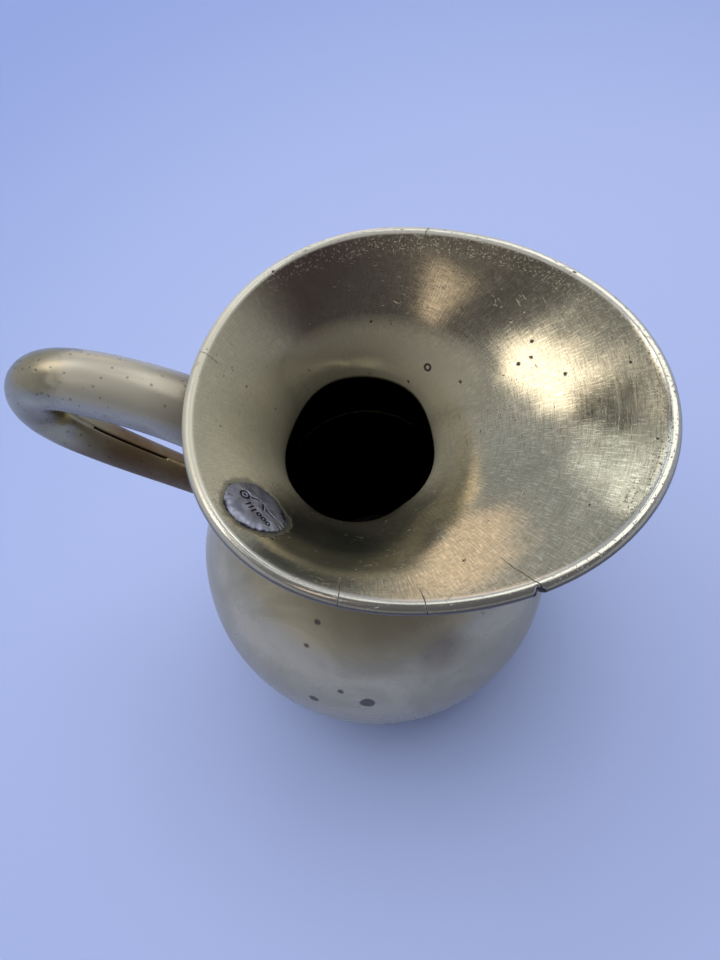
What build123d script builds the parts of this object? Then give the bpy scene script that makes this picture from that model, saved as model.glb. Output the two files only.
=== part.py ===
"""Brass pint jug: a round belly, a narrow throat, a funnel mouth with a pouring lip, and a tube loop handle.

The frame is +Z up, with the origin at the centre of the flat base. The lip points along +X, the handle
along -X, and the jug is symmetric about the XZ plane, apart from the verification plug. Millimetres.
"""
import os
from math import asin, atan2, cos, hypot, pi, sin, sqrt

from build123d import *

os.makedirs("parts", exist_ok=True)

# Driving dimensions
belly_radius = 52.0  # outside of the round belly
belly_height = 44.0  # centre of the belly above the base
sheet = 1.0  # brass sheet of the belly and the mouth
throat_height = 108.8  # narrowest place of the neck, where the flare starts
throat_radius = 17.5  # inside
flare_height = 26.4  # from the throat to the middle of the rim
mouth_lobes = (45.6, 13.7, 2.8, 1.6, 0.45)  # outline: the sum of lobe * cos(number * angle), lip at angle 0

# The flare's profile is a cubic curve from the throat to the rim: upright at first, then leaning outward
flare_upright = 0.38  # height of the first handle, as a part of the flare's height
flare_lean = (0.42, 0.72)  # second handle: part of the spread, part of the height

# Rolled rim
bead_radius = 1.6
wire_radius = 0.7
bead_contact = 33.0  # degrees from the bead's top to the place where the flare runs into it

# Neck lap and base
lap_depth = 8.5
lap_film = 0.15
collar_drop = 2.0  # collar's top edge below the throat
shoulder_fillet = 12.0
base_thickness = 1.2
base_gap = 0.1
base_solder_leg = 2.2

# Handle: its centre line in the XZ plane, as (x, height above the throat), from the mouth to the belly
handle_line = ((-10, -6), (-40, 12.5), (-57, 19.5), (-70.5, 19), (-76.2, 8), (-67, -8.5), (-36, -42.3))
handle_radius_top = 8.6
handle_radius_foot = 4.2
handle_sheet = 0.8
seam_width = 0.7
seam_open_high = -1.0  # heights above the throat between which the seam has opened
seam_open_low = -15.0
solder_leg = 1.3

# Verification plug, through the mouth's wall beside the handle
plug_angle = 240.0  # degrees about +Z from the lip
plug_step = 0.77  # how far up the flare's profile
plug_head_radius = 6.8
plug_head_rise = 0.9
plug_edge_round = 0.35
plug_stem_radius = 4.2
plug_clench_radius = 5.4

# Derived sizes
bead_height = throat_height + flare_height
contact = bead_contact * pi / 180
contact_inset = bead_radius + bead_radius * sin(contact)
flare_rise = flare_height + bead_radius * cos(contact)
mouth_sections = 12
flare_steps = 6
handle_side = pi - asin(handle_radius_top / (throat_radius + handle_radius_top))
handle_sections = 7


def outline_radius(angle):
    """Radius of the mouth's outline, over the outside of the bead, at an angle from the lip."""
    return sum(lobe * cos(number * angle) for number, lobe in enumerate(mouth_lobes))


def bend(step, first, second):
    """Cubic Bezier from 0 to 1 with the two handle values, and its rate, at a step from 0 to 1."""
    rest = 1 - step
    value = 3 * rest * rest * step * first + 3 * rest * step * step * second + step**3
    rate = 3 * (rest * rest * first + 2 * rest * step * (second - first) + step * step * (1 - second))
    return value, rate


def flare(angle, step, outward=0.0):
    """Radius and height of the mouth's inner surface, or of one outward from it by a wall's thickness."""
    spread, spread_rate = bend(step, 0.0, flare_lean[0])
    rise, rise_rate = bend(step, flare_upright, flare_lean[1])
    reach = outline_radius(angle) - contact_inset - throat_radius
    slope = atan2(flare_rise * rise_rate, reach * spread_rate)
    return throat_radius + reach * spread + outward / sin(slope), throat_height + flare_rise * rise


def flare_point(angle, step):
    """Point on the mouth's inner surface."""
    radius, height = flare(angle, step)
    return Vector(radius * cos(angle), radius * sin(angle), height)


def bead_centre(angle):
    """Distance from the axis to the middle of the rim's bead."""
    return outline_radius(angle) - bead_radius


def wall_step_under_bead(angle):
    """Step at which the wall's outer surface comes out of the bead, found by halving."""
    low, high = 0.6, 1.0
    for _ in range(30):
        middle = (low + high) / 2
        radius, height = flare(angle, middle, sheet)
        if hypot(radius - bead_centre(angle), height - bead_height) > bead_radius:
            low = middle
        else:
            high = middle
    return low


def radial_plane(angle):
    """Upright plane through the axis: its x runs outward at the angle, and its y runs up."""
    return Plane(origin=(0, 0, 0), x_dir=(cos(angle), sin(angle), 0), z_dir=(sin(angle), -cos(angle), 0))


def half_ring_angles():
    """Angles of the sections from the lip round one side to the handle."""
    return [pi * number / mouth_sections for number in range(mouth_sections + 1)]


def inner_flare_points(angle):
    """Points up the inside of the flare, from the throat to the bead."""
    return [flare(angle, number / flare_steps) for number in range(flare_steps + 1)]


def outer_flare_points(angle, outward):
    """Points down the outside of the flare, from under the bead to the throat."""
    top = wall_step_under_bead(angle)
    return [flare(angle, top * number / flare_steps, outward) for number in reversed(range(flare_steps + 1))]


def mouth_half():
    """One side of the mouth, lofted round from the lip to the handle through its upright sections."""
    foot = throat_height - lap_depth
    with BuildPart() as half:
        for angle in half_ring_angles():
            inner = inner_flare_points(angle)
            outer = outer_flare_points(angle, sheet)
            with BuildSketch(radial_plane(angle)):
                with BuildLine():
                    Line((throat_radius, foot), inner[0])
                    Spline(*inner)
                    ThreePointArc(inner[-1], (outline_radius(angle), bead_height), outer[0])
                    Spline(*outer)
                    Line(outer[-1], (throat_radius + sheet, foot))
                    Line((throat_radius + sheet, foot), (throat_radius, foot))
                make_face()
        loft()
    return half.part


def rim_half(radius):
    """One side of a round ring along the middle of the rim's bead, from the lip to the handle."""
    centres = [(angle, bead_centre(angle)) for angle in half_ring_angles()]
    points = [(distance * cos(angle), distance * sin(angle), bead_height) for angle, distance in centres]
    with BuildPart() as half:
        with BuildLine():
            side = Spline(*points, tangents=((0, 1, 0), (0, -1, 0)))
        with BuildSketch(Plane(origin=side @ 0, z_dir=side % 0)):
            Circle(radius)
        sweep(path=side)
    return half.part


def rear_wall(outward):
    """Solid filled out to the outside of the neck and the flare at the rear, or to a surface outward from it.

    The mouth is round there to within 0.2 mm, so a revolved shape stands for it where the handle meets it.
    """
    outer = outer_flare_points(handle_side, sheet + outward)
    foot = throat_height - lap_depth
    with BuildPart() as filled:
        with BuildSketch(Plane.XZ):
            with BuildLine():
                Spline(*outer)
                Polyline(outer[-1], (outer[-1][0], foot), (0, foot), (0, outer[0][1]), outer[0])
            make_face()
        revolve(axis=Axis.Z)
    return filled.part


def belly_solid(radius):
    """Belly and collar, filled, without the base's cut."""
    collar_radius = throat_radius + sheet + lap_film + sheet
    with BuildPart() as filled:
        with BuildSketch(Plane.XY.offset(belly_height)):
            Circle(collar_radius)
        extrude(amount=throat_height - collar_drop - belly_height)
        with Locations((0, 0, belly_height)):
            Sphere(radius)
        fillet(filled.edges().filter_by(GeomType.CIRCLE).group_by(Axis.Z)[-2], shoulder_fillet)
    return filled.part


def inner_radius_at(height):
    """Radius of the belly's inside at a height above the base."""
    return sqrt((belly_radius - sheet) ** 2 - (belly_height - height) ** 2)


def handle_radius(part_way):
    """Outside radius of the handle's tube, from the mouth at 0 to the belly at 1."""
    return handle_radius_foot + (handle_radius_top - handle_radius_foot) * (1 + cos(pi * part_way)) / 2


def handle_path():
    """Centre line of the handle."""
    points = [(x, 0, throat_height + height) for x, height in handle_line]
    return Spline(*points, mode=Mode.PRIVATE)


def handle_solid(outward):
    """Tapering solid along the handle's centre line, with its radius changed by an amount."""
    path = handle_path()
    with BuildPart() as filled:
        for number in range(handle_sections):
            part_way = number / (handle_sections - 1)
            with BuildSketch(Plane(origin=path @ part_way, x_dir=(0, 1, 0), z_dir=path % part_way)):
                Circle(handle_radius(part_way) + outward)
        sweep(path=path, multisection=True)
    return filled.part


def seam_plate():
    """Thin upright plate inside the handle's loop: it meets the tube along its inner side only."""
    with BuildPart() as plate:
        with BuildSketch(Plane.XZ):
            with BuildLine():
                Spline(*[(x, throat_height + height) for x, height in handle_line])
                Line(*[(x, throat_height + height) for x, height in (handle_line[-1], handle_line[0])])
            make_face()
        extrude(amount=seam_width / 2, both=True)
    return plate.part


filled_mouth = rear_wall(0)
filled_handle = handle_solid(0)
filled_belly = belly_solid(belly_radius)

# Bulb: the belly's shell, open at its collar and at its base
with BuildPart() as bulb:
    add(filled_belly)
    split(bisect_by=Plane.XY, keep=Keep.TOP)
    offset(amount=-sheet, openings=bulb.faces().filter_by(GeomType.PLANE))
bulb.part.label = "bulb"

# Base disc, flush with the belly's lower edge
with BuildPart() as base_disc:
    with BuildSketch():
        Circle(inner_radius_at(0) - base_gap)
    extrude(amount=base_thickness)
base_disc.part.label = "base_disc"

# Base solder: the fillet inside the corner between the disc and the belly
with BuildPart() as base_solder:
    corner = inner_radius_at(0)
    with BuildSketch(Plane.XZ):
        with BuildLine():
            Polyline(
                (corner - base_solder_leg, base_thickness),
                (corner - base_gap, 0),
                (corner + base_solder_leg, 0),
                (inner_radius_at(base_thickness + base_solder_leg / 2), base_thickness + base_solder_leg / 2),
                close=True,
            )
        make_face()
    revolve(axis=Axis.Z)
    add(bulb.part, mode=Mode.SUBTRACT)
    add(base_disc.part, mode=Mode.SUBTRACT)
    add(filled_belly, mode=Mode.INTERSECT)
base_solder.part.label = "base_solder"

# Verification plug's place on the wall: the plane's z points into the mouth
plug_turn = plug_angle * pi / 180
plug_spot = flare_point(plug_turn, plug_step)
up_the_wall = flare_point(plug_turn, plug_step + 0.01) - plug_spot
round_the_wall = flare_point(plug_turn + 0.01, plug_step) - plug_spot
plug_plane = Plane(origin=plug_spot, x_dir=round_the_wall, z_dir=up_the_wall.cross(round_the_wall))

# One side of the mouth: neck, flare and rolled rim in one sheet, hollow where the wire lies
with BuildPart() as mouth_side:
    add(mouth_half())
    add(rim_half(wire_radius), mode=Mode.SUBTRACT)

# Mouth: both sides, with the hole for the plug
with BuildPart() as mouth_funnel:
    add(mouth_side.part)
    mirror(about=Plane.XZ)
    with BuildSketch(plug_plane):
        Circle(plug_stem_radius)
    extrude(amount=2 * sheet, both=True, mode=Mode.SUBTRACT)
mouth_funnel.part.label = "mouth_funnel"

# Neck solder: the film in the lap, and the fillet on the collar's top edge
with BuildPart() as neck_solder:
    neck_radius = throat_radius + sheet
    collar_top = throat_height - collar_drop
    with BuildSketch(Plane.XZ):
        with BuildLine():
            Polyline(
                (neck_radius, throat_height - lap_depth),
                (neck_radius + lap_film, throat_height - lap_depth),
                (neck_radius + lap_film, collar_top),
                (neck_radius + lap_film + sheet, collar_top),
                (neck_radius, collar_top + sheet),
                close=True,
            )
        make_face()
    revolve(axis=Axis.Z)
neck_solder.part.label = "neck_solder"

# Rim wire: it fills the roll of the rim
with BuildPart() as rim_wire:
    add(rim_half(wire_radius))
    mirror(about=Plane.XZ)
rim_wire.part.label = "rim_wire"

# Verification plug: a stem through the wall, a low domed head inside and a clenched head outside
with BuildPart() as verification_plug:
    with BuildSketch(plug_plane.offset(-2 * sheet)):
        Circle(plug_clench_radius)
    extrude(amount=2 * sheet)
    with BuildSketch(plug_plane.offset(-sheet)):
        Circle(plug_head_radius)
    extrude(amount=sheet + plug_head_rise)
    from_outside_in = Axis(plug_spot, plug_plane.z_dir)
    head_top = verification_plug.faces().filter_by(GeomType.PLANE).sort_by(from_outside_in)[-1]
    fillet(head_top.edges(), plug_edge_round)
    add(mouth_funnel.part, mode=Mode.SUBTRACT)
verification_plug.part.label = "verification_plug"

# Handle tube, from the mouth's wall to the belly, before its seam is opened
with BuildPart() as closed_tube:
    add(filled_handle)
    add(handle_solid(-handle_sheet), mode=Mode.SUBTRACT)
    for neighbour in (filled_mouth, filled_belly, neck_solder.part):
        add(neighbour, mode=Mode.SUBTRACT)

# Handle tube with the seam along its inner side
with BuildPart() as handle_tube:
    add(closed_tube.part)
    add(seam_plate(), mode=Mode.SUBTRACT)
handle_tube.part.label = "handle_tube"

# Seam solder: it fills the seam, but for the stretch that has opened
with BuildPart() as handle_seam_solder:
    add(closed_tube.part)
    add(seam_plate(), mode=Mode.INTERSECT)
    with BuildSketch(Plane.XY.offset(throat_height + seam_open_low)):
        with Locations((-belly_radius, 0)):
            Rectangle(2 * belly_radius, seam_width)
    extrude(amount=seam_open_high - seam_open_low, mode=Mode.SUBTRACT)
handle_seam_solder.part.label = "handle_seam_solder"

# Handle's top solder: a narrow fillet round the tube where it meets the mouth and the neck
with BuildPart() as handle_top_solder:
    add(rear_wall(solder_leg))
    add(handle_solid(solder_leg), mode=Mode.INTERSECT)
    for neighbour in (filled_handle, filled_mouth, filled_belly, neck_solder.part):
        add(neighbour, mode=Mode.SUBTRACT)
handle_top_solder.part.label = "handle_top_solder"

# Handle's foot solder: a narrow fillet round the tube where it meets the belly
with BuildPart() as handle_foot_solder:
    with Locations((0, 0, belly_height)):
        Sphere(belly_radius + solder_leg)
    add(handle_solid(solder_leg), mode=Mode.INTERSECT)
    add(filled_handle, mode=Mode.SUBTRACT)
    add(filled_belly, mode=Mode.SUBTRACT)
handle_foot_solder.part.label = "handle_foot_solder"

pieces = (
    bulb,
    base_disc,
    base_solder,
    mouth_funnel,
    neck_solder,
    rim_wire,
    handle_tube,
    handle_seam_solder,
    handle_top_solder,
    handle_foot_solder,
    verification_plug,
)
for piece in pieces:
    export_step(piece.part, f"parts/{piece.part.label}.step")
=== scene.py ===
"""Looks of the brass pint jug: brass meshes, procedural metals, a pale floor and soft light.

Lengths are named in millimetres, as the part's own are, and become metres in make_mesh().
"""

from math import cos, pi, radians, sin

import bmesh
import bpy
import numpy as np
from mathutils import Matrix, Vector


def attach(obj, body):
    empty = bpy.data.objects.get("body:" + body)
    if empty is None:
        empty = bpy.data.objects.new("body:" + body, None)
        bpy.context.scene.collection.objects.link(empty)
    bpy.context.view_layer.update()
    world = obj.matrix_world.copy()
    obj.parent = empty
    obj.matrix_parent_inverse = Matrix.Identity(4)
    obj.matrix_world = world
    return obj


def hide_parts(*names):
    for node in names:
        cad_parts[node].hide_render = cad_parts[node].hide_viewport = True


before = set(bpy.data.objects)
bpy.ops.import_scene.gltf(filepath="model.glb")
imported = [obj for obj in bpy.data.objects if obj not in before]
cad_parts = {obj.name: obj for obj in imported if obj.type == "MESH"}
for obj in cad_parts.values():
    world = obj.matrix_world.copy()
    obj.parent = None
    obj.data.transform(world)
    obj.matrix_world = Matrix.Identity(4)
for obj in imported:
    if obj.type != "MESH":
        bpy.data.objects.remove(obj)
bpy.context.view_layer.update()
MM = 0.001

# Sizes that the CAD part is built from
belly_radius = 52.0
belly_height = 44.0
sheet = 1.0
throat_height = 108.8
throat_radius = 17.5
flare_height = 26.4
mouth_lobes = (45.6, 13.7, 2.8, 1.6, 0.45)
flare_upright = 0.38
flare_lean = (0.42, 0.72)
bead_radius = 1.6
bead_contact = radians(33)
lap_depth = 8.5
lap_film = 0.15
collar_drop = 2.0
shoulder_fillet = 12.0
handle_line = ((-10, -6), (-40, 12.5), (-57, 19.5), (-70.5, 19), (-76.2, 8), (-67, -8.5), (-36, -42.3))
handle_radius_top = 8.6
handle_radius_foot = 4.2
handle_sheet = 0.8
seam_width = 0.7
plug_angle = radians(240)
plug_step = 0.77
plug_radius = 7.1
plug_rise = 0.9
plug_stem = 4.2
plug_clench = 5.4
wall_bow = 0.5  # how far the wall bows up beside the plug's head
wall_dip = 0.6  # how far it falls away above and below, as a share of that
stamp_depth = 0.26

# How much sooner the wall leans out on the near side, and where that starts: a sine of the angle
near_lean = 0.85
near_start = 0.7

# Finest steps of the meshes, round and along
mouth_sections = 1080
belly_sections = 540
handle_steps = 1600
handle_sections = 420
handle_columns = 97
plug_sections = 240

# Facets of the handle: depth, waves round the tube, waves along it in radians, and where they start
handle_facets = ((0.05, 3, 9, 0), (0.06, 2, 23, 1))

# Hand-made unevenness as pairs: size of the waves and their depth
mouth_waves = ((46, 0.16), (17, 0.035))
belly_waves = ((58, 0.16), (21, 0.03))
plug_waves = (5, 0.07)

# Notch in the rim, over a crack: its angle in degrees, its half width and depth
notch_degrees = 317.2
notch_width = 0.55
notch_depth = 0.9

bead_height = throat_height + flare_height
contact_inset = bead_radius * (1 + sin(bead_contact))
flare_rise = flare_height + bead_radius * cos(bead_contact)
collar_radius = throat_radius + sheet + lap_film + sheet


# ---------------------------------------------------------------- mesh helpers


def make_mesh(name, rows, close_rows=True):
    """Smooth mesh over rows of points in millimetres, each a closed loop; the last row may meet the first."""
    count, width = rows.shape[:2]
    index = np.arange(count * width).reshape(count, width)
    if close_rows:
        index = np.vstack([index, index[:1]])
    index = np.hstack([index, index[:, :1]])
    faces = np.stack([index[:-1, :-1], index[:-1, 1:], index[1:, 1:], index[1:, :-1]], axis=-1).reshape(-1, 4)
    mesh = bpy.data.meshes.new(name)
    mesh.from_pydata((rows.reshape(-1, 3) * MM).tolist(), [], faces.tolist())
    mesh.polygons.foreach_set("use_smooth", [True] * len(mesh.polygons))
    mesh.update()
    piece = bpy.data.objects.new(name, mesh)
    bpy.context.scene.collection.objects.link(piece)
    return piece


def face_outward(piece):
    """Turn a closed mesh's faces outward."""
    shape = bmesh.new()
    shape.from_mesh(piece.data)
    bmesh.ops.recalc_face_normals(shape, faces=shape.faces)
    if shape.calc_volume(signed=True) < 0:
        bmesh.ops.reverse_faces(shape, faces=shape.faces)
    shape.to_mesh(piece.data)
    shape.free()


def ripple(points, size, depth):
    """Slow unevenness of hand-worked sheet at points: waves of about a size, up to a depth."""
    x, y, z = (points[..., axis] * 2 * pi / size for axis in range(3))
    waves = np.sin(x + 0.7 * np.sin(y * 0.9 + 1.3)) * np.sin(y * 1.1 + 0.5 * z + 0.4)
    waves += 0.6 * np.sin(1.7 * y - 0.8 * x + 2.1) * np.sin(1.3 * z + 0.6 * x)
    return depth * waves / 1.6


def near(distance, width):
    """1 at no distance, falling smoothly to 0 past a width."""
    return np.exp(-((distance / width) ** 2))


def bend(step, first, second):
    """Cubic Bezier from 0 to 1 with the two handle values, and its rate."""
    rest = 1 - step
    value = 3 * rest * rest * step * first + 3 * rest * step * step * second + step**3
    rate = 3 * (rest * rest * first + 2 * rest * step * (second - first) + step * step * (1 - second))
    return value, rate


# ---------------------------------------------------------------- mouth


def outline_radius(angle):
    """Radius of the mouth's outline, over the outside of the bead."""
    return sum(lobe * np.cos(number * angle) for number, lobe in enumerate(mouth_lobes))


def flare(angle, step, outward=0.0):
    """Radius and height of the mouth's wall at an angle and a step up its profile."""
    near_side = np.clip((-np.sin(angle) - near_start) / (1 - near_start), 0, 1)
    upright = flare_upright * (1 - near_lean * near_side**2 * (3 - 2 * near_side))
    spread, spread_rate = bend(step, 0.0, flare_lean[0])
    rise, rise_rate = bend(step, upright, flare_lean[1])
    reach = outline_radius(angle) - contact_inset - throat_radius
    slope = np.arctan2(flare_rise * rise_rate, reach * spread_rate)
    return throat_radius + reach * spread + outward / np.sin(slope), throat_height + flare_rise * rise


def flare_point(angle, step):
    """Point on the mouth's inner surface, in millimetres."""
    radius, height = flare(angle, step)
    return Vector((radius * cos(angle), radius * sin(angle), height))


def wall_step_under_bead(angle):
    """Step at which the wall's outer surface comes out of the bead, found by halving."""
    low = np.full_like(angle, 0.6)
    high = np.full_like(angle, 1.0)
    for _ in range(30):
        middle = (low + high) / 2
        radius, height = flare(angle, middle, sheet)
        outside = np.hypot(radius - outline_radius(angle) + bead_radius, height - bead_height) > bead_radius
        low = np.where(outside, middle, low)
        high = np.where(outside, high, middle)
    return low


# Cracks in the rim: angle in degrees, share of the flare's rise they run down to, and sideways wander
rim_cracks = (
    (171, 0.93, 1.5),
    (notch_degrees, 0.92, -3.0),
    (296, 0.97, 0.5),
    (277, 0.95, -1.0),
    (76, 0.95, 1.0),
)
notch_angle = radians(notch_degrees)


def mouth_angles():
    """Angles of the mouth's sections: even, with closer ones beside the notch."""
    even = np.linspace(0, 2 * pi, mouth_sections, endpoint=False)
    close = notch_angle + np.linspace(-0.02, 0.02, 61)
    return np.unique(np.concatenate([even, close]))


def build_mouth():
    """Neck, flare and rolled rim as one closed sheet, with the rim's notch and slow dents."""
    angle = mouth_angles()[:, None]
    neck = np.linspace(throat_height - lap_depth, throat_height, 7)[:-1][None, :]
    step = np.linspace(0, 1, 72)[None, :]
    inner_radius, inner_height = flare(angle, step)
    inner_height = np.broadcast_to(inner_height, inner_radius.shape)
    last_step = wall_step_under_bead(angle)
    outer_radius, outer_height = flare(angle, last_step * np.linspace(1, 0, 40)[None, :], sheet)
    centre = outline_radius(angle) - bead_radius
    turn_end = np.arctan2(outer_height[:, :1] - bead_height, outer_radius[:, :1] - centre)
    turn_end = np.where(turn_end > 0, turn_end - 2 * pi, turn_end)
    turn = pi / 2 + bead_contact + (turn_end - pi / 2 - bead_contact) * np.linspace(0, 1, 42)[None, 1:-1]
    radius = np.hstack([
        np.full((len(angle), neck.shape[1]), throat_radius),
        inner_radius,
        centre + bead_radius * np.cos(turn),
        outer_radius,
        np.full((len(angle), neck.shape[1]), throat_radius + sheet),
    ])
    height = np.hstack([
        np.broadcast_to(neck, (len(angle), neck.shape[1])),
        inner_height,
        bead_height + bead_radius * np.sin(turn),
        outer_height,
        np.broadcast_to(neck[:, ::-1], (len(angle), neck.shape[1])),
    ])
    points = np.stack([radius * np.cos(angle), radius * np.sin(angle), height], axis=-1)
    loose = np.clip((points[..., 2] - throat_height) / flare_rise, 0, 1)
    points[..., 2] += sum(loose * ripple(points, size, depth) for size, depth in mouth_waves)
    # the notch: a short bite out of the bead's outer side
    along = (angle - notch_angle) * outline_radius(angle)
    on_bead = np.clip((radius - centre) / bead_radius, 0, 1) * (height > bead_height - bead_radius)
    bite = notch_depth * near(along, notch_width) * on_bead
    points[..., 0] -= bite * np.cos(angle)
    points[..., 1] -= bite * np.sin(angle)
    piece = make_mesh("mouth_sheet", points)
    face_outward(piece)
    return piece


# ---------------------------------------------------------------- belly


def belly_profile():
    """Closed outline of the belly's shell in radius and height, from the base's edge round to the inside."""
    inner_radius = belly_radius - sheet
    turn_base = np.arcsin(-belly_height / belly_radius)
    fillet_radius = collar_radius + shoulder_fillet
    fillet_height = belly_height + np.sqrt((belly_radius + shoulder_fillet) ** 2 - fillet_radius**2)
    turn_shoulder = np.arctan2(fillet_height - belly_height, fillet_radius)
    outer = []
    inner = []
    for turn in np.linspace(turn_base, turn_shoulder, 150):
        outer.append((belly_radius * cos(turn), belly_height + belly_radius * sin(turn)))
        inner.append((inner_radius * cos(turn), max(belly_height + inner_radius * sin(turn), 0)))
    for turn in np.linspace(turn_shoulder + pi, pi, 24)[1:]:
        for side, reach in ((outer, shoulder_fillet), (inner, shoulder_fillet + sheet)):
            side.append((fillet_radius + reach * cos(turn), fillet_height + reach * sin(turn)))
    top = throat_height - collar_drop
    worn_edge = 0.25
    half_worn = 0.08
    for height in np.linspace(fillet_height, top - worn_edge, 8)[1:]:
        outer.append((collar_radius, height))
        inner.append((collar_radius - sheet, height))
    edge = [(collar_radius - half_worn, top - half_worn), (collar_radius - worn_edge, top)]
    edge += [(collar_radius - sheet + worn_edge, top), (collar_radius - sheet + half_worn, top - half_worn)]
    return np.array(outer + edge + inner[::-1])


def build_belly():
    """The belly's shell, a little uneven, as spun and then knocked about."""
    profile = belly_profile()
    angle = np.linspace(0, 2 * pi, belly_sections, endpoint=False)[:, None]
    radius = profile[None, :, 0]
    height = np.broadcast_to(profile[None, :, 1], (belly_sections, len(profile)))
    points = np.stack([radius * np.cos(angle), radius * np.sin(angle), height], axis=-1)
    above_base = np.clip(height / 12, 0, 1)
    below_collar = np.clip((throat_height - 14 - height) / 10, 0, 1)
    waves = sum(ripple(points, size, depth) for size, depth in belly_waves)
    swell = 1 + above_base * below_collar * waves / belly_radius
    points[..., 0] *= swell
    points[..., 1] *= swell
    piece = make_mesh("belly_shell", points)
    face_outward(piece)
    return piece


# ---------------------------------------------------------------- handle


def smooth_line(knots, count):
    """Points of a cubic spline through knots, evenly spaced along its length, and unit tangents.

    Its direction at each end is that of the cubic through the four nearest knots.
    """
    knots = np.array(knots, float)
    along = np.concatenate([[0], np.cumsum(np.linalg.norm(np.diff(knots, axis=0), axis=1))])
    gap = np.diff(along)
    number = len(knots)
    matrix = np.zeros((number, number))
    right = np.zeros((number, 2))
    matrix[0, :2] = 2 * gap[0], gap[0]
    matrix[-1, -2:] = gap[-1], 2 * gap[-1]
    start_rate = np.polyfit(along[:4] - along[0], knots[:4], 3)[2]
    end_rate = np.polyfit(along[-4:] - along[-1], knots[-4:], 3)[2]
    rate = np.diff(knots, axis=0) / gap[:, None]
    for row in range(1, number - 1):
        matrix[row, row - 1 : row + 2] = gap[row - 1], 2 * (gap[row - 1] + gap[row]), gap[row]
        right[row] = 6 * (rate[row] - rate[row - 1])
    right[0] = 6 * (rate[0] - start_rate)
    right[-1] = 6 * (end_rate - rate[-1])
    second = np.linalg.solve(matrix, right)
    at = np.linspace(0, along[-1], 4000)
    span = np.clip(np.searchsorted(along, at, side="right") - 1, 0, number - 2)
    width = gap[span][:, None]
    before = (along[span + 1] - at)[:, None]
    after = (at - along[span])[:, None]
    curve = (second[span] * before**3 + second[span + 1] * after**3) / (6 * width)
    curve += (knots[span] / width - second[span] * width / 6) * before
    curve += (knots[span + 1] / width - second[span + 1] * width / 6) * after
    length = np.concatenate([[0], np.cumsum(np.linalg.norm(np.diff(curve, axis=0), axis=1))])
    even = np.linspace(0, length[-1], count)
    points = np.stack([np.interp(even, length, curve[:, axis]) for axis in range(2)], axis=-1)
    tangents = np.gradient(points, axis=0)
    return points, tangents / np.linalg.norm(tangents, axis=1)[:, None]


def inside_wall(points):
    """True where points lie inside the middle of the mouth's or the belly's wall."""
    radius = np.hypot(points[..., 0], points[..., 1])
    height = points[..., 2]
    in_belly = np.hypot(radius, height - belly_height) < belly_radius - sheet / 2
    in_neck = (radius < collar_radius - sheet / 2) & (height < throat_height) & (height > belly_height)
    wall_radius, wall_height = flare(pi, np.linspace(0, 1, 60), sheet / 2)
    in_flare = (height >= throat_height) & (radius < np.interp(height, wall_height, wall_radius))
    return in_belly | in_neck | in_flare


def trim_columns(points, rows):
    """Cut each lengthwise column of a tube's points where it enters the jug's walls, and space it evenly."""
    inside = inside_wall(points)
    half = len(points) // 2
    count = np.arange(len(points))[:, None]
    start = np.max(np.where(inside[:half], count[:half], 0), axis=0)
    end = np.min(np.where(inside[half:], count[half:], len(points) - 1), axis=0)
    at = start + (end - start) * np.linspace(0, 1, rows)[:, None]
    below = np.clip(at.astype(int), 0, len(points) - 2)
    share = (at - below)[..., None]
    column = np.arange(points.shape[1])[None, :]
    return points[below, column] * (1 - share) + points[below + 1, column] * share


def build_handle():
    """The tapering tube, from the mouth's wall to the belly's, with its seam open on the inner side."""
    centre, tangent = smooth_line([(x, throat_height + z) for x, z in handle_line], handle_steps)
    part_way = np.linspace(0, 1, len(centre))[:, None]
    radius = handle_radius_foot + (handle_radius_top - handle_radius_foot) * (1 + np.cos(pi * part_way)) / 2
    inward = np.stack([-tangent[:, 1], tangent[:, 0]], axis=-1)
    half_seam = seam_width / 2 / radius
    around = half_seam + (2 * pi - 2 * half_seam) * np.linspace(0, 1, handle_columns)[None, :]
    facet = sum(
        depth * np.sin(turns * around + bends * part_way + start)
        for depth, turns, bends, start in handle_facets
    )
    reach = np.hstack([radius + facet, np.broadcast_to(radius - handle_sheet, facet.shape)])
    around = np.hstack([around, around[:, ::-1]])
    across = reach * np.cos(around)
    points = np.stack([
        centre[:, :1] + across * inward[:, :1],
        reach * np.sin(around),
        centre[:, 1:] + across * inward[:, 1:],
    ], axis=-1)
    piece = make_mesh("handle_sheet", trim_columns(points, handle_sections), close_rows=False)
    face_outward(piece)
    return piece


# ---------------------------------------------------------------- plug


def plug_frame():
    """Plug's centre on the wall, and its sideways, upward and outward directions."""
    spot = flare_point(plug_angle, plug_step)
    around = (flare_point(plug_angle + 0.01, plug_step) - spot).normalized()
    up = (flare_point(plug_angle, plug_step + 0.01) - spot).normalized()
    out = around.cross(up).normalized()
    if out.dot(Vector((-cos(plug_angle), -sin(plug_angle), 1))) < 0:
        out = -out
    return spot, around, up, out


def stamped(across, up):
    """Depth of the generic marks on the plug: a dotted ring, bars, small rings and a chevron, in two rows."""
    from_ring = np.hypot(across + 3.3, up - 0.9)
    depth = np.maximum(near(from_ring - 0.95, 0.2), near(from_ring, 0.3))
    for place in (-1.2, -0.3, 0.6):
        inside = near(np.maximum(np.abs(up - 1.9) - 0.7, 0), 0.15)
        depth = np.maximum(depth, near(across - place, 0.18) * inside)
    for place in (1.9, 3.2, 4.5):
        depth = np.maximum(depth, near(np.hypot(across - place, up - 1.6) - 0.42, 0.18))
    chevron = near(np.abs(across + 0.4) - 0.9 - (up + 1.2) * 0.8, 0.22) * (np.abs(up + 0.8) < 0.9)
    bar = near(up + 1.0, 0.2) * (np.abs(across - 2.8) < 1.3)
    return np.maximum(depth, np.maximum(chevron, bar))


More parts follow.
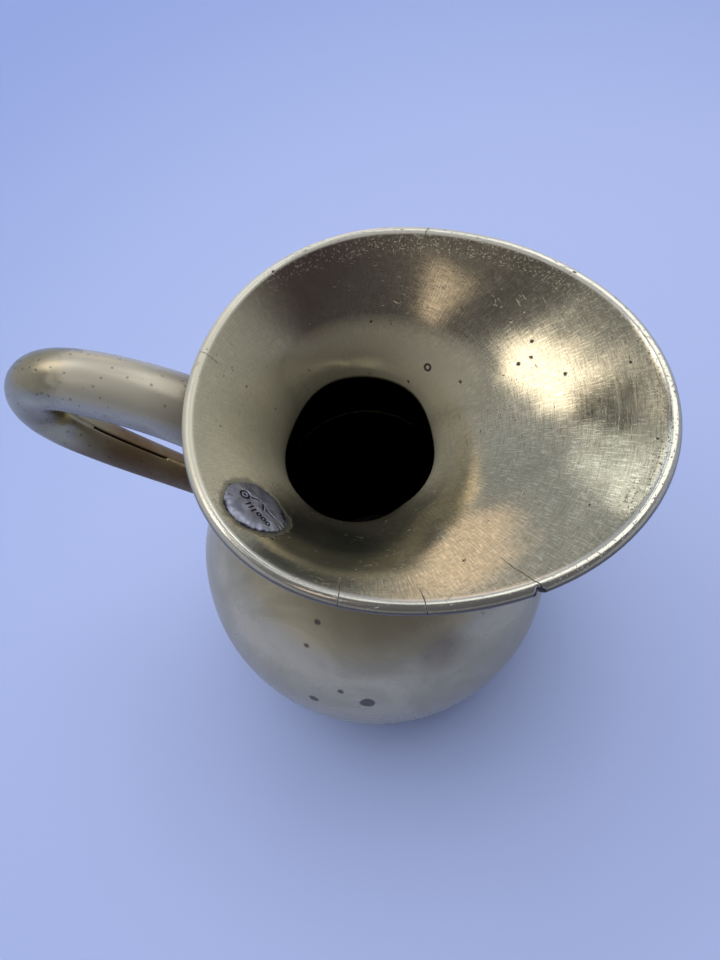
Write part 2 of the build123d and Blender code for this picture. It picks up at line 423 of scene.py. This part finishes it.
def build_plug():
    """Soft-metal plug: a low, hand-beaten head inside, a stem through the wall, a clenched head outside."""
    spot, around, up, out = plug_frame()
    turn = np.linspace(0, 2 * pi, plug_sections, endpoint=False)[:, None]
    share = np.concatenate([np.linspace(0.01, 0.88, 80), np.linspace(0.885, 1, 18)])[None, :]
    ragged = 1 + 0.03 * np.sin(3 * turn + 1) + 0.018 * np.sin(7 * turn)
    ragged = ragged + 0.012 * np.sin(31 * turn + np.sin(5 * turn))
    reach = plug_radius * ragged * share
    across = reach * np.cos(turn)
    rise = reach * np.sin(turn)
    dome = plug_rise * (1 - share**8) * (0.85 + 0.15 * (1 - share**2)) * np.ones_like(across)
    dome -= stamp_depth * stamped(across, rise)
    dome += ripple(np.stack([across, rise, dome], axis=-1), *plug_waves)
    dome += wall_bow * ((across / plug_radius) ** 2 - wall_dip * (rise / plug_radius) ** 2)
    # the rest of the outline, as radius and level: under the head, along the stem, round the clenched head
    foot = (
        (plug_radius * 0.97, -0.5),
        (plug_stem, -0.5),
        (plug_stem, -sheet - 0.3),
        (plug_clench, -sheet + 0.2),
        (plug_clench * 1.01, -sheet - 0.5),
        (plug_clench * 0.85, -2 * sheet),
        (0.05, -2 * sheet - 0.1),
    )
    foot_reach = np.array([radius for radius, _ in foot])[None, :] * ragged
    foot_level = np.broadcast_to(np.array([level for _, level in foot])[None, :], foot_reach.shape)
    across = np.hstack([across, foot_reach * np.cos(turn)])
    rise = np.hstack([rise, foot_reach * np.sin(turn)])
    level = np.hstack([dome, foot_level])
    points = np.stack([
        spot[axis] + across * around[axis] + rise * up[axis] + level * out[axis] for axis in range(3)
    ], axis=-1)
    piece = make_mesh("plug_metal_piece", points)
    face_outward(piece)
    return piece


mouth = build_mouth()
belly = build_belly()
handle = build_handle()
plug = build_plug()
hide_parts("mouth_funnel")
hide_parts("bulb")
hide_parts("handle_tube")
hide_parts("verification_plug")
slots = {"mouth_brass": mouth, "belly_brass": belly, "handle_brass": handle, "plug_metal": plug}
for slot, piece in slots.items():
    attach(piece, "root")


# ---------------------------------------------------------------- materials


class Nodes:
    """A node tree, with short calls for the nodes used here."""

    def __init__(self, tree, place):
        self.tree = tree
        self.place = tree.nodes.new("ShaderNodeTexCoord").outputs[place]

    def put(self, value, socket):
        """Link or set a socket."""
        if hasattr(value, "is_output"):
            self.tree.links.new(value, socket)
        else:
            socket.default_value = value

    def math(self, operation, first, second=0.0, third=0.0, clamp=False):
        node = self.tree.nodes.new("ShaderNodeMath")
        node.operation = operation
        node.use_clamp = clamp
        for value, socket in zip((first, second, third), node.inputs):
            self.put(value, socket)
        return node.outputs[0]

    def times(self, first, second):
        return self.math("MULTIPLY", first, second)

    def plus(self, first, second):
        return self.math("ADD", first, second)

    def minus(self, first, second, clamp=False):
        return self.math("SUBTRACT", first, second, clamp=clamp)

    def over(self, first, second):
        return self.math("DIVIDE", first, second)

    def most(self, *values, clamp=False):
        """Greatest of several values."""
        greatest = values[0]
        for value in values[1:]:
            greatest = self.math("MAXIMUM", greatest, value, clamp=clamp)
        return greatest

    def inverse(self, value):
        """One less a value."""
        return self.math("SUBTRACT", 1.0, value)

    def noise(self, scale, detail=3.0, roughness=0.55, vector=None, distortion=0.0):
        node = self.tree.nodes.new("ShaderNodeTexNoise")
        self.put(vector or self.place, node.inputs["Vector"])
        node.inputs["Scale"].default_value = scale
        node.inputs["Detail"].default_value = detail
        node.inputs["Roughness"].default_value = roughness
        node.inputs["Distortion"].default_value = distortion
        return node.outputs[0]

    def cells(self, scale):
        node = self.tree.nodes.new("ShaderNodeTexVoronoi")
        self.put(self.place, node.inputs["Vector"])
        node.inputs["Scale"].default_value = scale
        return node

    def ramp(self, value, low, high, start=0.0, end=1.0):
        """Smooth step of a value between low and high, from start to end."""
        node = self.tree.nodes.new("ShaderNodeMapRange")
        node.interpolation_type = "SMOOTHSTEP"
        sockets = ("Value", "From Min", "From Max", "To Min", "To Max")
        for name, given in zip(sockets, (value, low, high, start, end)):
            self.put(given, node.inputs[name])
        return node.outputs[0]

    def mix(self, share, first, second):
        """Blend of two colours."""
        node = self.tree.nodes.new("ShaderNodeMix")
        node.data_type = "RGBA"
        self.put(share, node.inputs[0])
        for value, socket in ((first, node.inputs[6]), (second, node.inputs[7])):
            if isinstance(value, tuple):
                value = (*value, 1.0)
            self.put(value, socket)
        return node.outputs[2]

    def split(self, vector=None):
        node = self.tree.nodes.new("ShaderNodeSeparateXYZ")
        self.put(vector or self.place, node.inputs[0])
        return node.outputs

    def join(self, x, y, z):
        node = self.tree.nodes.new("ShaderNodeCombineXYZ")
        for value, socket in zip((x, y, z), node.inputs):
            self.put(value, socket)
        return node.outputs[0]

    def upward(self):
        """Height of the surface's normal: 1 facing up, -1 facing down."""
        return self.split(self.tree.nodes.new("ShaderNodeNewGeometry").outputs["Normal"])[2]

    def faces_axis(self):
        """1 where the surface faces the upright axis, 0 where it faces away."""
        normal = self.split(self.tree.nodes.new("ShaderNodeNewGeometry").outputs["Normal"])
        place = self.split()
        away = self.math("MULTIPLY_ADD", normal[0], place[0], self.times(normal[1], place[1]))
        return self.math("LESS_THAN", away, 0.0)

    def distance(self, spot):
        """Distance from a spot in millimetres."""
        node = self.tree.nodes.new("ShaderNodeVectorMath")
        node.operation = "DISTANCE"
        self.put(self.place, node.inputs[0])
        node.inputs[1].default_value = Vector(spot) * MM
        return self.math("DIVIDE", node.outputs["Value"], MM)

    def bump(self, height, strength, distance, under=None):
        node = self.tree.nodes.new("ShaderNodeBump")
        node.inputs["Strength"].default_value = strength
        node.inputs["Distance"].default_value = distance
        self.put(height, node.inputs["Height"])
        if under is not None:
            self.put(under, node.inputs["Normal"])
        return node.outputs[0]

    def dot(self, direction):
        """Share of the coordinates' vector along a direction."""
        node = self.tree.nodes.new("ShaderNodeVectorMath")
        node.operation = "DOT_PRODUCT"
        self.put(self.place, node.inputs[0])
        node.inputs[1].default_value = direction
        return node.outputs["Value"]


class Skin(Nodes):
    """A new material."""

    def __init__(self, name):
        self.material = bpy.data.materials.new(name)
        self.material.use_nodes = True
        self.material.node_tree.nodes.clear()
        super().__init__(self.material.node_tree, "Object")

    def finish(self, colour, roughness, normal, metallic=1.0):
        """Join the surface to the output and return the material."""
        surface = self.tree.nodes.new("ShaderNodeBsdfPrincipled")
        output = self.tree.nodes.new("ShaderNodeOutputMaterial")
        self.tree.links.new(surface.outputs[0], output.inputs[0])
        self.put(colour, surface.inputs["Base Color"])
        self.put(roughness, surface.inputs["Roughness"])
        self.put(metallic, surface.inputs["Metallic"])
        if normal is not None:
            self.put(normal, surface.inputs["Normal"])
        return self.material


def polar(n):
    """Angle in radians, distance from the axis and height, the last two in millimetres."""
    x, y, z = n.split()
    angle = n.math("ARCTAN2", y, x)
    radius = n.math("SQRT", n.plus(n.times(x, x), n.times(y, y)))
    return angle, n.over(radius, MM), n.over(z, MM)


def pits(n, scale, share, size):
    """Scattered small pits: 1 in a pit, 0 elsewhere. The share is of cells that hold one."""
    cell = n.cells(scale)
    shade = n.split(cell.outputs["Color"])[0]
    chosen = n.math("LESS_THAN", shade, share)
    ragged = n.plus(cell.outputs["Distance"], n.times(n.noise(scale * 3), 0.25))
    return n.times(chosen, n.ramp(ragged, size, size * 0.6))


# Colours, as linear red, green and blue
# painted shade for the insides of the neck and belly
painted_inside_shade = (0.012, 0.011, 0.009)
brass_olive = (0.56, 0.52, 0.36)
brass_gold = (0.78, 0.71, 0.50)
brass_grey = (0.58, 0.54, 0.40)
ring_gold = (0.88, 0.80, 0.56)
scratch_brown = (0.38, 0.35, 0.26)
spoke_gold = (1.0, 0.93, 0.70)
stain_purple = (0.33, 0.25, 0.21)
stain_grey = (0.20, 0.205, 0.165)
far_shade_olive = (0.27, 0.25, 0.18)
near_olive = (0.40, 0.38, 0.28)
underside_shade_brown = (0.11, 0.085, 0.055)
bead_highlight_cream = (0.90, 0.88, 0.76)
dirt = (0.025, 0.022, 0.018)
belly_low = (0.46, 0.41, 0.27)
belly_high = (0.64, 0.57, 0.39)
belly_speckle = (0.33, 0.29, 0.20)
belly_base = (0.36, 0.33, 0.23)
belly_streak = (0.30, 0.24, 0.16)
belly_blot = (0.08, 0.06, 0.07)
handle_low = (0.42, 0.38, 0.25)
handle_high = (0.60, 0.54, 0.37)
handle_reflection_pale = (0.54, 0.51, 0.41)
handle_underside_shade = (0.19, 0.15, 0.10)
handle_brown = (0.17, 0.11, 0.055)
handle_pit = (0.07, 0.055, 0.04)
solder_tones = ((0.30, 0.29, 0.27), (0.46, 0.45, 0.42))
spelter_tones = ((0.46, 0.38, 0.20), (0.58, 0.48, 0.28))
plug_low = (0.24, 0.25, 0.31)
plug_high = (0.40, 0.42, 0.52)
plug_dark = (0.03, 0.03, 0.04)
floor_lit_middle = (0.40, 0.49, 0.82)
floor_shaded_edge = (0.27, 0.36, 0.70)
sky_high = (0.06, 0.057, 0.068)
sky_pale = (0.29, 0.31, 0.36)
sky_below = (0.33, 0.33, 0.34)


def mouth_polish(n, angle, radius, height):
    """Colour of the polished funnel, with the height of its ring and spoke scratches."""
    ring_way = n.join(n.times(angle, 6.0), n.times(radius, 2.2), n.times(height, 2.2))
    spoke_way = n.join(n.times(angle, 60.0), n.times(radius, 0.18), 0.0)
    rings = n.noise(0.7, 6, 0.75, ring_way)
    spokes = n.noise(1.0, 4, 0.6, spoke_way)
    clouds = n.noise(38, 4, 0.6, distortion=0.6)
    tone = n.mix(n.ramp(clouds, 0.35, 0.7), brass_olive, brass_gold)
    tone = n.mix(n.ramp(n.noise(16, 2, 0.5), 0.45, 0.7, 0.0, 0.45), tone, brass_grey)
    tone = n.mix(n.ramp(rings, 0.5, 0.8, 0.0, 0.3), tone, ring_gold)
    tone = n.mix(n.ramp(n.noise(2.2, 5, 0.75, ring_way), 0.48, 0.60, 0.0, 0.75), tone, scratch_brown)
    tone = n.mix(n.ramp(n.noise(2.4, 4, 0.7, spoke_way), 0.5, 0.62, 0.0, 0.6), tone, spoke_gold)
    # tarnish on the far rear side and low on the near side
    far_rear = n.ramp(n.distance((-20, 34, throat_height + 24)), 34, 6)
    tone = n.mix(n.times(far_rear, n.ramp(clouds, 0.35, 0.65, 0.45, 0.95)), tone, stain_purple)
    near_low = n.ramp(n.distance(flare_point(radians(268), 0.72)), 20, 7)
    tone = n.mix(n.times(near_low, n.ramp(clouds, 0.3, 0.6, 0.7, 1.0)), tone, stain_grey)
    return tone, rings, spokes, clouds


def depth_under_rim(n, angle, radius):
    """Distance in from the mouth's outline, in millimetres."""
    outline = 0.0
    for number, lobe in enumerate(mouth_lobes):
        outline = n.math("MULTIPLY_ADD", n.math("COSINE", n.times(angle, number)), lobe, outline)
    return n.minus(outline, radius)


def mouth_pits(n, angle, radius, height, inset):
    """1 in the funnel's pits, ticks and ring mark, and in the fine pitting beside the lip's rim."""
    small = pits(n, 420, 0.055, 0.34)
    large = pits(n, 190, 0.006, 0.17)
    mark_radius = 0.7
    from_mark = n.minus(n.distance(flare_point(radians(52), 0.37)), mark_radius)
    mark = n.ramp(n.math("ABSOLUTE", from_mark), mark_radius / 2, 0.15)
    lip_side = n.ramp(n.math("COSINE", n.minus(angle, 0.8)), -0.2, 0.6)
    near_rim = n.times(n.ramp(inset, 7.5, 3.0), lip_side)
    rim_band = n.times(near_rim, n.ramp(n.noise(1700, 3, 0.7), 0.59, 0.65))
    tick_way = n.join(n.times(angle, 9.0), n.times(radius, 0.9), n.times(height, 0.4))
    ticks = n.ramp(n.noise(1.3, 3, 0.6, tick_way, 1.5), 0.66, 0.71)
    ticks = n.times(ticks, n.ramp(n.noise(70, 2), 0.45, 0.6))
    return n.most(small, ticks, large, mark, n.times(rim_band, 0.8))


def mouth_cracks(n, angle, radius, height):
    """1 in the cracks that run in from the rim, and in the notch over one of them."""
    crack = 0.0
    for degrees, reach, wander in rim_cracks:
        drift = n.times(n.minus(n.noise(160, 3), 0.5), 0.05)
        lean = n.times(n.minus(height, bead_height), radians(wander) / 8)
        middle = radians(degrees - 360 if degrees > 180 else degrees)
        away = n.math("ABSOLUTE", n.minus(n.plus(angle, n.plus(drift, lean)), middle))
        line = n.ramp(n.times(away, radius), 0.13, 0.04)
        bottom = throat_height + flare_rise * reach
        crack = n.most(crack, n.times(line, n.ramp(height, bottom - 1, bottom + 0.5)))
    bite_reach = outline_radius(notch_angle) - 0.5
    bite = n.distance((bite_reach * cos(notch_angle), bite_reach * sin(notch_angle), bead_height))
    return n.most(crack, n.ramp(bite, 1.7, 1.3))


def plug_grime(n):
    """1 in the ragged band of dirt round the plug's head."""
    ragged = n.times(n.minus(n.noise(500, 4), 0.5), 2.4)
    from_plug = n.plus(n.distance(plug_frame()[0]), ragged)
    return n.ramp(from_plug, plug_radius + 1.3, plug_radius + 0.1)


def mouth_brass():
    """Hand-polished brass: fine ring scratches, soft tarnish, pits, rim cracks and grime round the plug, with
    painted shade in the neck, on the far wall and under the bead, and a painted highlight on top of the bead.
    """
    n = Skin("mouth_brass")
    angle, radius, height = polar(n)
    tone, rings, spokes, clouds = mouth_polish(n, angle, radius, height)
    inset = depth_under_rim(n, angle, radius)
    across_jug = n.math("SINE", angle)
    # painted shade: the far wall turns darker olive and less metallic towards the throat
    far_wall_shade = n.ramp(height, throat_height + 19, throat_height + 13)
    far_wall_shade = n.times(n.ramp(across_jug, 0.1, 0.7), far_wall_shade)
    tone = n.mix(n.times(far_wall_shade, 0.85), tone, far_shade_olive)
    # painted shade: brown on the outside where it faces down, and under the bead
    under_bead = n.times(n.ramp(n.upward(), 0.8, 0.35), n.ramp(inset, 1.6, 1.1))
    outside = n.most(n.ramp(n.upward(), 0.1, -0.3), under_bead)
    tone = n.mix(outside, tone, underside_shade_brown)
    # painted highlight: cream on top of the bead, less metallic on the far side
    painted_bead_highlight = n.times(n.ramp(n.upward(), 0.5, 0.85), n.ramp(inset, 3.0, 2.4))
    painted_bead_highlight = n.times(painted_bead_highlight, n.ramp(height, bead_height + 0.6, bead_height + 1.3))
    tone = n.mix(painted_bead_highlight, tone, bead_highlight_cream)
    # dirt
    dark = n.most(mouth_pits(n, angle, radius, height, inset), mouth_cracks(n, angle, radius, height))
    dark = n.most(dark, n.times(plug_grime(n), 0.85), clamp=True)
    tone = n.mix(dark, tone, dirt)
    # duller wall round the throat and on the handle's side
    handle_side = n.times(n.ramp(n.math("COSINE", angle), 0.1, -0.7), n.ramp(across_jug, -0.95, -0.6))
    worn = n.times(n.ramp(height, throat_height + 17, throat_height + 2), n.ramp(across_jug, -0.9, -0.3))
    worn = n.times(n.most(worn, handle_side), n.ramp(across_jug, 0.9, 0.35))
    # painted shade: black inside the neck, and a little above it on the far side
    lift = n.ramp(across_jug, 0.1, 0.95, 0.0, 5.0)
    inside = n.ramp(n.minus(height, lift), throat_height + 0.3, throat_height - 0.9)
    inside = n.times(inside, n.faces_axis())
    tone = n.mix(n.times(n.minus(worn, inside, clamp=True), 0.6), tone, near_olive)
    tone = n.mix(inside, tone, painted_inside_shade)
    rough = n.plus(n.ramp(clouds, 0.3, 0.7, 0.11, 0.19), n.ramp(rings, 0.3, 0.8, -0.03, 0.06))
    rough = n.plus(n.plus(rough, n.times(worn, 0.2)), n.times(dark, 0.4))
    relief = n.bump(n.plus(rings, n.times(spokes, 0.8)), 0.06, 0.0002)
    relief = n.bump(n.inverse(dark), 0.5, 0.0002, relief)
    far_bead_highlight = n.times(painted_bead_highlight, n.ramp(across_jug, 0.0, 0.7))
    dull = n.plus(n.times(worn, 0.5), n.math("MULTIPLY_ADD", far_bead_highlight, 0.35, 0.06))
    dull = n.most(dull, n.times(outside, 0.7), n.times(far_wall_shade, 0.75), n.times(dark, 0.7))
    return n.finish(tone, rough, relief, n.inverse(n.times(dull, n.inverse(inside))))


# Dark blots on the belly: place in millimetres and size
belly_blots = (
    ((6.0, -48.9, 60.7), 2.3),
    ((-8.7, -49.3, 58.0), 1.6),
    ((-0.8, -47.7, 64.7), 1.0),
    ((-7.3, -34.5, 82.2), 0.9),
    ((-10.0, -39.3, 76.5), 0.9),
)


def belly_brass():
    """Older, softer polish: cool grey tarnish clouds, a few dark spots and faint stains, darker towards the
    bottom, with painted shade inside.
    """
    n = Skin("belly_brass")
    radius, height = polar(n)[1:]
    clouds = n.noise(30, 5, 0.6, distortion=0.8)
    fine = n.noise(260, 4, 0.65)
    tone = n.mix(n.ramp(clouds, 0.35, 0.68), belly_low, belly_high)
    tone = n.mix(n.ramp(fine, 0.5, 0.8, 0.0, 0.3), tone, belly_speckle)
    blots = 0.0
    for spot, size in belly_blots:
        edge = n.plus(n.distance(spot), n.times(n.noise(300, 3), 1.6))
        blots = n.most(blots, n.ramp(edge, size + 0.9, size + 0.3))
    # darker towards the bottom
    lower = n.ramp(height, 76, 52, 0.0, 0.5)
    tone = n.mix(lower, tone, belly_base)
    streak = n.ramp(n.distance((24, -35.5, 72.8)), 9, 3)
    tone = n.mix(n.times(streak, n.ramp(clouds, 0.35, 0.6, 0.3, 0.8)), tone, belly_streak)
    small = pits(n, 240, 0.05, 0.25)
    dark = n.most(n.times(blots, 0.8), n.times(small, 0.6), clamp=True)
    tone = n.mix(dark, tone, belly_blot)
    # painted shade: near black on the inside of the belly and neck
    depth = n.distance((0, 0, belly_height))
    in_neck = n.math("LESS_THAN", radius, collar_radius - sheet / 2)
    inside = n.most(n.math("LESS_THAN", depth, belly_radius - sheet / 2), in_neck)
    tone = n.mix(inside, tone, painted_inside_shade)
    rough = n.plus(n.ramp(clouds, 0.3, 0.7, 0.34, 0.24), n.times(dark, 0.3))
    relief = n.bump(fine, 0.06, 0.0004)
    return n.finish(tone, rough, relief, n.most(inside, 0.6))


def handle_brass():
    """Worn satin brass, closely pitted: a painted pale reflection on the upper arm, painted shade on the
    undersides and towards the jug, brown on the lower arm.
    """
    n = Skin("handle_brass")
    place = n.split()
    clouds = n.noise(60, 4, 0.6, distortion=0.4)
    fine = n.noise(700, 4, 0.7)
    tone = n.mix(n.ramp(clouds, 0.35, 0.7), handle_low, handle_high)
    # painted reflection: a pale, less metallic area on the upper arm
    ragged = n.times(n.minus(n.noise(150, 4, 0.6), 0.5), 14.0)
    painted_reflection_patch = n.ramp(n.plus(n.distance((-47, -3, throat_height + 25)), ragged), 20, 14)
    tone = n.mix(painted_reflection_patch, tone, handle_reflection_pale)
    # painted shade: darker on the undersides and on the part nearest the jug
    under = n.ramp(n.plus(n.upward(), n.times(n.noise(90, 4), 0.5)), 0.55, 0.0)
    under = n.most(under, n.ramp(place[0], -46 * MM, -33 * MM, 0.0, 0.8))
    tone = n.mix(n.times(under, 0.85), tone, handle_underside_shade)
    brown = n.ramp(place[2], (throat_height + 3) * MM, (throat_height - 8) * MM)
    tone = n.mix(n.times(brown, n.ramp(clouds, 0.3, 0.6, 0.7, 0.98)), tone, handle_brown)
    dense = pits(n, 620, 0.5, 0.4)
    large = pits(n, 300, 0.06, 0.2)
    dark = n.most(n.times(dense, 0.5), n.times(large, 0.8), clamp=True)
    tone = n.mix(dark, tone, handle_pit)
    rough = n.plus(n.ramp(clouds, 0.3, 0.7, 0.24, 0.34), n.times(n.plus(dark, brown), 0.2))
    relief = n.bump(fine, 0.1, 0.0003)
    relief = n.bump(n.inverse(dark), 0.4, 0.0002, relief)
    return n.finish(tone, rough, relief, n.ramp(n.most(painted_reflection_patch, brown), 0.0, 1.0, 0.9, 0.45))


def solder_metal(name, tone_low, tone_high):
    """Dull solder or spelter: slow colour change, wrinkled skin."""
    n = Skin(name)
    clouds = n.noise(180, 4, 0.6)
    fine = n.noise(900, 3, 0.6)
    tone = n.mix(n.ramp(clouds, 0.35, 0.7), tone_low, tone_high)
    relief = n.bump(n.plus(clouds, fine), 0.3, 0.0006)
    return n.finish(tone, n.ramp(fine, 0.3, 0.7, 0.38, 0.55), relief)


def plug_metal():
    """Soft grey metal: bluish sheen on its raised edge, black in its stamped marks."""
    n = Skin("plug_metal")
    spot, around, up, out = plug_frame()
    level = n.minus(n.over(n.dot(out), MM), spot.dot(out))
    across = n.over(n.minus(n.over(n.dot(around), MM), spot.dot(around)), plug_radius)
    rise = n.over(n.minus(n.over(n.dot(up), MM), spot.dot(up)), plug_radius)
    across = n.math("POWER", across, 2.0)
    rise = n.math("POWER", rise, 2.0)
    bow = n.minus(across, n.times(rise, wall_dip))
    share = n.plus(across, rise)
    round_off = n.inverse(n.math("POWER", share, 4.0))
    dome = n.times(round_off, n.minus(plug_rise, n.times(share, 0.15 * plug_rise)))
    level = n.minus(level, n.times(bow, wall_bow))
    sunk = n.ramp(n.minus(dome, level), 0.06, 0.14)
    sunk = n.times(sunk, n.ramp(share, 0.8, 0.7))
    clouds = n.noise(420, 4, 0.6)
    edge = n.ramp(n.plus(share, n.times(n.noise(900, 3), 0.3)), 1.02, 1.12)
    tone = n.mix(n.ramp(clouds, 0.35, 0.7), plug_low, plug_high)
    tone = n.mix(n.most(sunk, edge), tone, plug_dark)
    relief = n.bump(clouds, 0.25, 0.0004)
    return n.finish(tone, n.ramp(sunk, 0.0, 1.0, 0.36, 0.6), relief, 0.85)


def paint(piece, material):
    """Give a piece one material."""
    piece.data.materials.clear()
    piece.data.materials.append(material)


belly_material = belly_brass()
grey_solder = solder_metal("grey_solder", *solder_tones)
spelter = solder_metal("spelter", *spelter_tones)
paint(mouth, mouth_brass())
paint(belly, belly_material)
paint(handle, handle_brass())
paint(plug, plug_metal())
paint(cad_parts["base_disc"], belly_material)
paint(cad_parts["rim_wire"], spelter)
paint(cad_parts["handle_seam_solder"], spelter)
for name in ("base_solder", "neck_solder", "handle_top_solder", "handle_foot_solder"):
    paint(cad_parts[name], grey_solder)


# ---------------------------------------------------------------- floor, light and camera


# Panels in the sky: azimuth, elevation, half width, half height, edge softness and colour
sky_panels = (
    (124, 34, 0.45, 0.30, 0.12, (0.31, 0.34, 0.41)),
    (150, 54, 0.32, 0.13, 0.04, (2.5, 2.3, 2.15)),
    (-126, 58, 0.05, 0.20, 0.03, (1.0, 0.82, 0.70)),
    (90, 7, 0.13, 0.12, 0.03, (0.05, 0.06, 0.07)),
    (107, 14, 0.13, 0.16, 0.02, (0.95, 0.78, 0.68)),
    (118, 44, 0.12, 0.045, 0.01, (1.6, 1.65, 1.8)),
    (60, 50, 0.42, 0.42, 0.12, (1.2, 1.2, 1.2)),
)


def build_floor():
    """Plain pale floor under the jug, painted brighter in the middle as a pool of light, with painted shade
    towards its edges.
    """
    bpy.ops.mesh.primitive_plane_add(size=6.0, location=(0, 0, -0.0002))
    floor = bpy.context.object
    floor.name = "floor"
    n = Skin("pale_floor")
    # painted pool of light in the middle, fading to painted shade away from it
    tone = n.mix(n.ramp(n.distance((90, 20, 0)), 150, 480), floor_lit_middle, floor_shaded_edge)
    paint(floor, n.finish(tone, 0.7, n.bump(n.noise(900, 2), 0.03, 0.0005), 0.0))


def soft_light(name, azimuth, elevation, distance, width, height, power):
    """Area light that faces the jug from a direction given in degrees; distance and size in metres.

    Mirror-like metal doesn't see it: the panels in the sky are there for that.
    """
    light = bpy.data.lights.new(name, "AREA")
    light.shape = "RECTANGLE"
    light.size = width
    light.size_y = height
    light.energy = power
    lamp = bpy.data.objects.new(name, light)
    bpy.context.scene.collection.objects.link(lamp)
    aim = Vector((0, 0, 0.1))
    way = direction(azimuth, elevation)
    lamp.location = aim + way * distance
    lamp.rotation_euler = way.to_track_quat("Z", "Y").to_euler()
    lamp.visible_glossy = False


def direction(azimuth, elevation):
    """Unit vector toward an azimuth from +X and an elevation, in degrees."""
    level = cos(radians(elevation))
    return Vector((level * cos(radians(azimuth)), level * sin(radians(azimuth)), sin(radians(elevation))))


def panel(n, azimuth, elevation, width, height, soft):
    """Share of a soft-edged panel in the sky; its half sizes are tangents of angles."""
    facing = direction(azimuth, elevation)
    side = direction(azimuth + 90, 0)
    ahead = n.dot(facing)
    across = n.math("ABSOLUTE", n.over(n.dot(side), ahead))
    upward = n.math("ABSOLUTE", n.over(n.dot(facing.cross(side)), ahead))
    share = n.times(n.ramp(across, width + soft, width - soft), n.ramp(upward, height + soft, height - soft))
    return n.times(share, n.math("GREATER_THAN", ahead, 0.05))


def build_sky():
    """Dim even surroundings with soft warm panels, as the polished metal sees them."""
    world = bpy.data.worlds.new("studio")
    bpy.context.scene.world = world
    world.use_nodes = True
    n = Nodes(world.node_tree, "Generated")
    background = n.tree.nodes["Background"]
    shade = n.mix(n.ramp(n.dot(direction(-70, 55)), 0.4, 0.8), sky_pale, sky_high)
    shade = n.mix(n.ramp(n.dot(direction(0, 90)), 0.15, -0.05), shade, sky_below)
    for azimuth, elevation, width, height, soft, colour in sky_panels:
        shade = n.mix(panel(n, azimuth, elevation, width, height, soft), shade, colour)
    n.put(shade, background.inputs["Color"])


def build_card(name, across, upward, width, height, turn, colour, glow):
    """Flat card in a plane above the lip, for mirror-like metal only: dark, or glowing.

    Place and size are in millimetres from the plane's middle, and the turn is in degrees.
    """
    lip = Vector((52, 2, 133.5))
    azimuth = 128
    elevation = 52
    card_distance = 250
    way = direction(azimuth, elevation)
    side = direction(azimuth + 90, 0)
    top = way.cross(side)
    along = cos(radians(turn)) * side + sin(radians(turn)) * top
    spot = (lip + card_distance * way + across * side + upward * top) * MM
    bpy.ops.mesh.primitive_plane_add(size=MM)
    card = bpy.context.object
    card.name = name
    frame_of_card = Matrix((along * width, way.cross(along) * height, way)).transposed().to_4x4()
    card.matrix_world = Matrix.Translation(spot) @ frame_of_card
    card.visible_camera = False
    card.visible_diffuse = False
    card.visible_shadow = False
    n = Skin(name)
    material = n.finish((0, 0, 0, 1), 1.0, None, 0.0)
    surface = material.node_tree.nodes["Principled BSDF"]
    surface.inputs["Emission Color"].default_value = (*colour, 1)
    surface.inputs["Emission Strength"].default_value = glow
    surface.inputs["Specular IOR Level"].default_value = 0.0
    paint(card, material)


def build_camera():
    """Camera above the near side of the jug, looking down into the mouth."""
    lens = 27.4
    spot = Vector((24.5, -76.6, throat_height + 150.7)) * MM
    aim = Vector((1.3, -6.9, throat_height)) * MM
    roll = radians(-10.4)
    camera = bpy.data.cameras.new("camera")
    camera.lens = lens
    camera.sensor_width = 36
    camera.clip_start = 0.01
    viewer = bpy.data.objects.new("camera", camera)
    bpy.context.scene.collection.objects.link(viewer)
    facing = (aim - spot).to_track_quat("-Z", "Y").to_matrix().to_4x4()
    viewer.matrix_world = Matrix.Translation(spot) @ facing @ Matrix.Rotation(roll, 4, "Z")
    bpy.context.scene.camera = viewer


bpy.context.scene.view_settings.view_transform = "Standard"
build_floor()
build_sky()
build_card("dark_card", 2, 1, 68, 56, -30, (0.5, 0.6, 0.8), 0.05)
build_card("pale_strip", -21, -25, 70, 11, -50, (0.85, 0.95, 1.0), 1.3)
soft_light("overhead", 150, 74, 1.8, 2.4, 2.0, 33)
build_camera()
